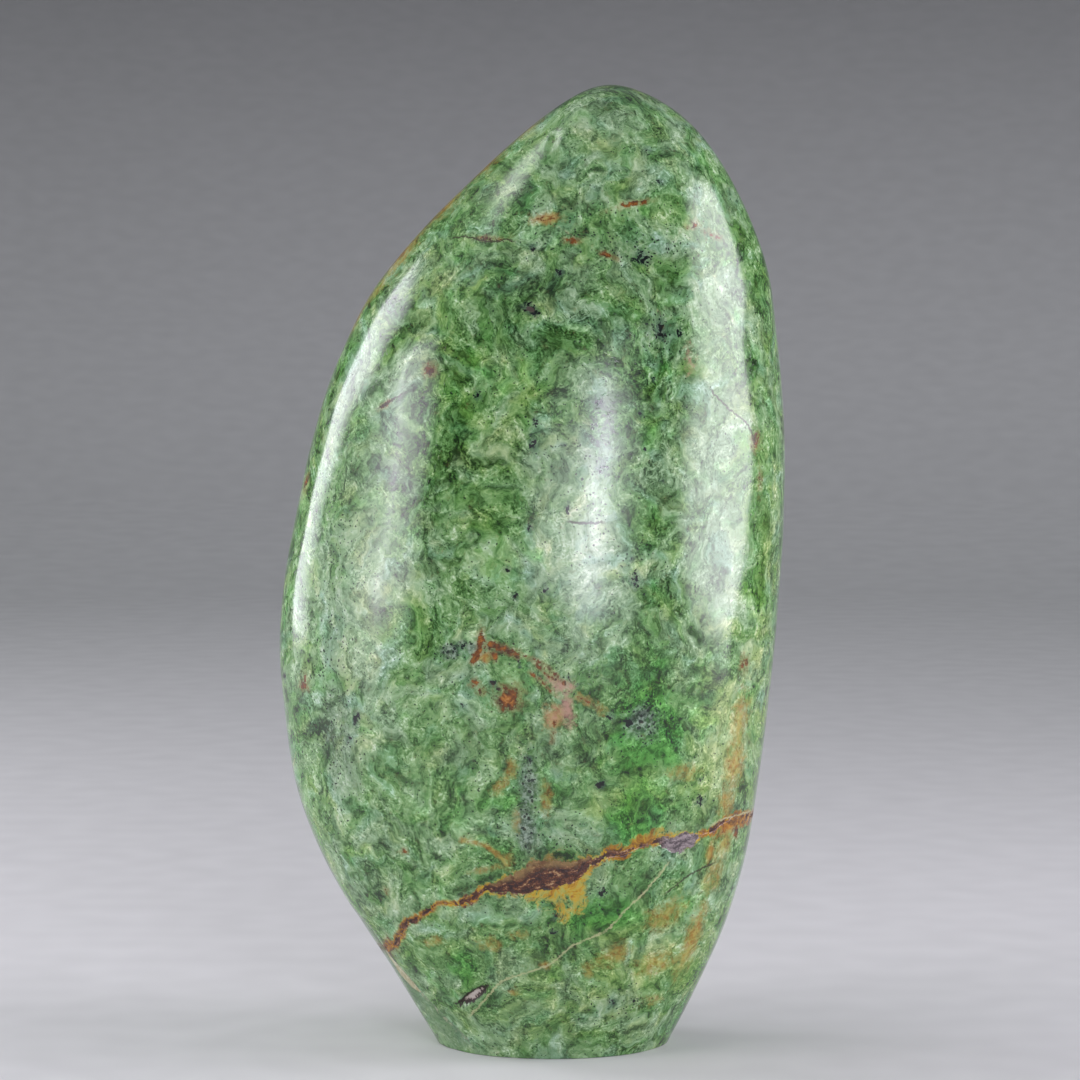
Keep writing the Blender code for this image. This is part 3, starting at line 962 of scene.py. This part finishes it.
rust = shades(
    recipe,
    plus(product(red_depth, 0.5), swing(iron_tone), 2.0),
    (
        (0.0, (0.04, 0.013, 0.004)),
        (0.3, (0.15, 0.042, 0.006)),
        (0.6, (0.32, 0.11, 0.012)),
        (1.0, (0.5, 0.25, 0.06)),
    ),
)
green = tinted(product(red_iron, 0.95), green, rust)

# The main vein: a rusty halo, then the dark filling, streaked along its run. Where the vein is thin
# the filling breaks up into beads.
SHOULDER_BROWN = (0.2, 0.115, 0.04)
vein_off, vein_half, vein_along = parts(laid("vein", "Vector"))
halo_up, halo_down, grey_part = parts(laid("halo", "Vector"))
vein_gap = sums("ABSOLUTE", vein_off)
thin_part = outside(rise(vein_half, 0.5, 1.2))
beaded = product(sums("SUBTRACT", iron_tone, 0.53), product(thin_part, 5.0))
filled = plus(sums("ADD", beaded, sums("SUBTRACT", vein_half, vein_gap)), torn, 3.0)
vein_mask = rise(filled, -0.1, 0.2)
above = sums("GREATER_THAN", vein_off, 0.0)
halo_reach = put(recipe, "Mix", {0: above, 2: halo_down, 3: halo_up}, data_type="FLOAT").outputs[0]
halo_in = plus(sums("SUBTRACT", halo_reach, vein_gap), torn, 3.6)
halo_in = sums("DIVIDE", halo_in, sums("MAXIMUM", halo_reach, 0.3))
patchy = plus(parts(drift)[0], swing(mottle), 1.6)
halo_in = plus(halo_in, patchy, 1.6)
halo_mask = rise(plus(halo_in, beaded, 0.3), -0.1, 0.4)
within_reach = rise(plus(sums("SUBTRACT", 0.0, vein_gap), halo_reach, 1.3), 0.0, 1.0)
halo_mask = product(halo_mask, within_reach)
rusted = plus(0.08, thin_part, 0.3)
gold = shades(
    recipe,
    plus(plus(rusted, halo_in, 0.25), swing(iron_tone), 1.8),
    (
        (0.0, (0.4, 0.37, 0.07)),
        (0.22, (0.54, 0.33, 0.015)),
        (0.45, (0.36, 0.14, 0.008)),
        (0.75, (0.1, 0.028, 0.005)),
    ),
)
shoulder = product(rise(halo_up, 2.4, 4.4), above)
gold = tinted(product(shoulder, 0.75), gold, SHOULDER_BROWN)
green = tinted(product(halo_mask, 0.9), green, gold)

LENS_RUST_DARK = (0.14, 0.07, 0.02)
LENS_RUST_PALE = (0.3, 0.2, 0.07)
LENS_GREY_DARK = (0.06, 0.045, 0.05)
LENS_GREY_PALE = (0.28, 0.23, 0.23)
lengthways = put(
    recipe, "CombineXYZ", {0: product(vein_along, 0.5), 1: vein_off, 2: product(torn, 3.0)}
).outputs[0]
vein_tone = grain(lengthways, size=0.8, rough=0.75, layer=25)
brown = shades(
    recipe,
    vein_tone,
    (
        (0.36, (0.018, 0.006, 0.006)),
        (0.5, (0.06, 0.014, 0.006)),
        (0.6, (0.16, 0.055, 0.02)),
        (0.72, (0.5, 0.33, 0.16)),
    ),
)
upper = rise(sums("DIVIDE", vein_off, sums("MAXIMUM", vein_half, 0.3)), 0.1, 0.8)
upper = product(upper, outside(thin_part))
lens_rust = tinted(rise(iron_tone, 0.4, 0.6), LENS_RUST_DARK, LENS_RUST_PALE)
brown = tinted(product(upper, 0.7), brown, lens_rust)
grey = tinted(rise(vein_tone, 0.36, 0.62), LENS_GREY_DARK, LENS_GREY_PALE)
green = tinted(vein_mask, green, tinted(grey_part, brown, grey))

# Cracks and pale hairlines.
CRACK_BROWN = (0.03, 0.022, 0.012)
HAIRLINE_PALE = (0.48, 0.48, 0.25)
crack_off, crack_half, crack_there = parts(laid("crack", "Vector"))
crack_gap = sums("ABSOLUTE", plus(crack_off, crumbs, 1.2))
crack_mask = outside(rise(sums("SUBTRACT", crack_gap, crack_half), 0.0, 0.14))
crack_mask = product(crack_mask, rise(crack_there, 0.05, 0.8))
green = tinted(product(crack_mask, 0.85), green, CRACK_BROWN)
hair_off, hair_half, hair_there = parts(laid("hairline", "Vector"))
hair_gap = sums("ABSOLUTE", plus(hair_off, crumbs, 1.2))
hair_mask = outside(rise(sums("SUBTRACT", hair_gap, hair_half), -0.12, 0.14))
hair_mask = product(hair_mask, rise(plus(hair_there, torn, 1.8), 0.3, 1.2))
green = tinted(product(hair_mask, 0.75), green, HAIRLINE_PALE)

# The open fracture, with its duller facet, pale crumbs along its lower side, a cream wedge, and its groove
# painted dark as shade in the crease.
FACET_GREEN = (0.12, 0.2, 0.11)
CRUMB_PALE = (0.4, 0.42, 0.26)
CREAM_DARK = (0.42, 0.37, 0.2)
CREAM_PALE = (0.6, 0.58, 0.38)
GROOVE_PAINTED_SHADE = (0.07, 0.05, 0.025)
frac_off, wedge_half, frac_there = parts(laid("fracture", "Vector"))
facet = product(rise(sums("SUBTRACT", 0.0, frac_off), 0.0, 0.6), frac_there)
green = tinted(product(facet, 0.55), green, FACET_GREEN)
pale_gap = sums("ABSOLUTE", plus(sums("ADD", frac_off, 0.6), torn, 2.4))
pale_side = product(outside(rise(pale_gap, 0.15, 0.6)), frac_there)
pale_side = product(pale_side, rise(iron_tone, 0.42, 0.58))
green = tinted(product(pale_side, 0.7), green, CRUMB_PALE)
wedge_gap = sums("ABSOLUTE", plus(plus(frac_off, wedge_half, 0.3), crumbs, 0.8))
wedge = rise(sums("SUBTRACT", wedge_half, wedge_gap), -0.05, 0.2)
cream = tinted(rise(iron_tone, 0.4, 0.6), CREAM_DARK, CREAM_PALE)
green = tinted(product(wedge, 0.92), green, cream)
# The groove is painted dark brown: painted shade in the open crease.
groove_gap = sums("ABSOLUTE", plus(frac_off, crumbs, 0.8))
groove_mask = product(outside(rise(groove_gap, 0.2, 0.7)), frac_there)
groove_mask = product(groove_mask, outside(rise(wedge_half, 0.0, 0.6)))
green = tinted(product(groove_mask, 0.85), green, GROOVE_PAINTED_SHADE)

# The open pocket, painted dark at its rim as shade in the hollow and pale on its floor, and the pits,
# painted dark brown as shade in them.
PIT_PAINTED_SHADE = (0.045, 0.03, 0.02)
pocket_depth = plus(laid("pocket"), crumbs, 1.4)
pocket_mask = rise(pocket_depth, -0.05, 0.1)
pocket_shade_and_floor = shades(
    recipe,
    pocket_depth,
    (
        (0.1, (0.02, 0.015, 0.01)),
        (0.4, (0.06, 0.04, 0.03)),
        (0.55, (0.5, 0.42, 0.36)),
        (0.8, (0.62, 0.56, 0.5)),
    ),
)
green = tinted(pocket_mask, green, pocket_shade_and_floor)
# The pits are painted dark brown: painted shade in the holes.
pit_mask = rise(plus(laid("pit"), crumbs, 1.4), 0.1, 0.4)
green = tinted(pit_mask, green, PIT_PAINTED_SHADE)

# Relief that the polish leaves: fine pits, and a rough vein.
fine_pit_depth = 0.012
vein_roughness = 0.2
roughness = grain(place, size=0.5, detail=1.0, rough=0.6, layer=27)
relief = product(rise(roughness, 0.6, 0.75), -fine_pit_depth)
rough_vein = rise(sums("SUBTRACT", vein_half, vein_gap), -0.1, 0.2)
relief = plus(relief, product(rough_vein, roughness), -vein_roughness)
bump = put(recipe, "Bump", {"Height": relief, "Distance": MM, "Strength": 1.0}).outputs[0]

# The buffed green shines, rust and veins less so, and the open places hardly at all.
open_places = sums("MAXIMUM", groove_mask, sums("MAXIMUM", pocket_mask, pit_mask))
dull = sums("MULTIPLY_ADD", fine, 0.05, 0.09)
dull = plus(dull, red_iron, 0.12)
dull = plus(dull, vein_mask, 0.3)
dull = plus(dull, open_places, 0.5)
QUARTZ_INDEX = 1.54
gloss = put(
    recipe,
    "BsdfPrincipled",
    {"Base Color": green, "Roughness": dull, "Normal": bump, "IOR": QUARTZ_INDEX},
)
put(recipe, "OutputMaterial", {"Surface": gloss.outputs[0]})
polished_mesh.materials.clear()
polished_mesh.materials.append(polish)
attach(stone, "root")
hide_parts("stone")

# The table. A sheet of matt paper that only carries the stone. It lies flat under it and sweeps up all
# round, and its colour is painted darker the higher it goes, as painted shade of a backdrop beyond the
# lights. The profile is given in metres, as (distance from the stone's middle, height).
TABLE_PROFILE = (
    (0.0, 0.0),
    (0.5, 0.0),
    (1.0, 0.0),
    (1.25, 0.03),
    (1.45, 0.14),
    (1.58, 0.34),
    (1.64, 0.7),
    (1.66, 1.5),
)
PAPER_DULL = (0.7, 0.7, 0.69)
PAPER_PALE = (0.77, 0.77, 0.76)
PAPER_PAINTED_SHADE = (0.06, 0.062, 0.066, 1.0)
TABLE_STEPS = 64
table_points = [(0.0, 0.0, 0.0)]
for reach, height in TABLE_PROFILE[1:]:
    for step in range(TABLE_STEPS):
        angle = math.tau * step / TABLE_STEPS
        table_points.append((math.cos(angle) * reach, math.sin(angle) * reach, height))
table_faces = []
for step in range(TABLE_STEPS):
    after = (step + 1) % TABLE_STEPS
    table_faces.append((0, 1 + step, 1 + after))
    for ring in range(len(TABLE_PROFILE) - 2):
        inner = 1 + ring * TABLE_STEPS
        outer = inner + TABLE_STEPS
        table_faces.append((inner + step, outer + step, outer + after, inner + after))
table_mesh = bpy.data.meshes.new("table")
table_mesh.from_pydata(table_points, [], table_faces)
table_mesh.shade_smooth()
table = bpy.data.objects.new("table", table_mesh)
bpy.context.scene.collection.objects.link(table)
paper = bpy.data.materials.new("pale_paper")
paper.use_nodes = True
paper_tree = paper.node_tree
paper_face = paper_tree.nodes["Principled BSDF"]
paper_face.inputs["Roughness"].default_value = 0.7
paper_face.inputs["Specular IOR Level"].default_value = 0.0
paper_grain = put(paper_tree, "TexNoise", {"Scale": 300.0, "Detail": 0.0})
paper_tone = shades(paper_tree, paper_grain.outputs["Fac"], ((0.0, PAPER_DULL), (1.0, PAPER_PALE)))
paper_height = put(paper_tree, "SeparateXYZ", {0: put(paper_tree, "TexCoord").outputs["Object"]})
# The paper is painted darker with height: painted shade, not a darker paper.
shade_with_height = {"From Min": 0.0, "From Max": 0.5, "To Min": 0.0, "To Max": 0.7}
painted_shade_rise = put(
    paper_tree,
    "MapRange",
    {"Value": paper_height.outputs[2], **shade_with_height},
    interpolation_type="SMOOTHSTEP",
)
paper_colour = put(paper_tree, "Mix", data_type="RGBA")
paper_tree.links.new(painted_shade_rise.outputs["Result"], paper_colour.inputs[0])
paper_tree.links.new(paper_tone, paper_colour.inputs[6])
paper_colour.inputs[7].default_value = PAPER_PAINTED_SHADE
paper_tree.links.new(paper_colour.outputs[2], paper_face.inputs["Base Color"])
table_mesh.materials.append(paper)

# The studio lights. Tall softboxes stand close at both sides, the left pair with a weak fill between
# them, and a broad one in front shines with a bright band in its middle. A small one hangs over the
# left shoulder. Each has a cloth face that is brighter in places, which gives the long highlights.
NEAR_WHITE = (0.93, 0.91, 1.0)


def softbox(name, azimuth, height, distance, width, tall, power, colour, across, ends, tilt=0.0, roll=0.0):
    """A soft light aimed level at the stone's axis. Across is the brightness from its one side to the
    other as (share, level), and ends is the share at the top and at the foot that fades."""
    light = bpy.data.lights.new(name, "AREA")
    light.shape = "RECTANGLE"
    light.size = width
    light.size_y = tall
    light.energy = power
    light.color = colour
    lamp = bpy.data.objects.new(name, light)
    angle = math.radians(azimuth)
    lamp.location = (math.sin(angle) * distance, -math.cos(angle) * distance, height)
    facing_in = Euler((math.pi / 2 + math.radians(tilt), 0.0, angle)).to_matrix()
    lamp.rotation_euler = (facing_in @ Matrix.Rotation(math.radians(roll), 3, "Z")).to_euler()
    lamp.visible_camera = False
    bpy.context.scene.collection.objects.link(lamp)

    light.use_nodes = True
    tree = light.node_tree
    cloth = put(tree, "SeparateXYZ", {0: put(tree, "NewGeometry").outputs["Parametric"]})
    fade = shades(tree, cloth.outputs[0], [(share, (level, level, level)) for share, level in across])
    from_middle = put(tree, "Math", {0: cloth.outputs[1], 1: 0.5}, operation="SUBTRACT")
    from_middle = put(tree, "Math", {0: from_middle.outputs[0]}, operation="ABSOLUTE")
    span = {"From Min": 0.5 - ends, "From Max": 0.5, "To Min": 1.0, "To Max": 0.0}
    end = put(
        tree, "MapRange", {"Value": from_middle.outputs[0], **span}, interpolation_type="SMOOTHSTEP"
    )
    both = put(tree, "Math", {0: fade, 1: end.outputs["Result"]}, operation="MULTIPLY")
    tree.links.new(both.outputs[0], tree.nodes["Emission"].inputs["Strength"])


softbox(
    "left_outer", azimuth=-109, height=0.36, distance=0.75, width=0.24, tall=0.72, power=4.4,
    colour=NEAR_WHITE, ends=0.12, across=((0.0, 1.0), (0.6, 0.9), (1.0, 0.2)),
)
softbox(
    "left_inner", azimuth=-67, height=0.28, distance=0.7, width=0.5, tall=0.56, power=8.8,
    colour=(0.94, 0.88, 1.0), ends=0.3,
    across=((0.0, 0.0), (0.25, 0.35), (0.35, 0.5), (0.42, 1.0), (0.49, 0.6), (0.8, 0.4), (1.0, 0.0)),
)
softbox(
    "left_fill", azimuth=-78, height=0.2, distance=0.78, width=0.6, tall=0.5, power=0.7,
    colour=NEAR_WHITE, ends=0.2, across=((0.0, 1.0), (0.8, 0.8), (1.0, 0.0)),
)
softbox(
    "right_softbox", azimuth=81.5, height=0.265, distance=0.55, width=0.28, tall=0.54, power=3.7,
    colour=(0.94, 0.89, 1.0), ends=0.12, roll=-14,
    across=((0.0, 0.0), (0.25, 0.65), (0.6, 0.9), (0.8, 1.0), (1.0, 1.0)),
)
softbox(
    "front_softbox", azimuth=20, height=0.19, distance=0.85, width=0.79, tall=0.52, power=18.2,
    colour=(0.9, 0.88, 1.0), ends=0.45,
    across=(
        (0.0, 0.0), (0.15, 0.12), (0.3, 0.33), (0.42, 0.95), (0.5, 1.0), (0.62, 0.4), (0.82, 0.13),
        (1.0, 0.0),
    ),
)
softbox(
    "top_softbox", azimuth=-90, height=0.78, distance=0.42, width=0.36, tall=0.26, power=1.5,
    colour=(1.0, 1.0, 1.0), ends=0.4, tilt=-58,
    across=((0.0, 0.0), (0.4, 1.0), (0.7, 0.8), (1.0, 0.0)),
)

# The room. A dim bluish white all round, which fills the shadows.
room = bpy.data.worlds.new("room")
room.use_nodes = True
room_light = room.node_tree.nodes["Background"]
room_light.inputs["Color"].default_value = (0.9, 0.95, 1.0, 1.0)
room_light.inputs["Strength"].default_value = 0.4
bpy.context.scene.world = room
bpy.context.scene.view_settings.view_transform = "Standard"
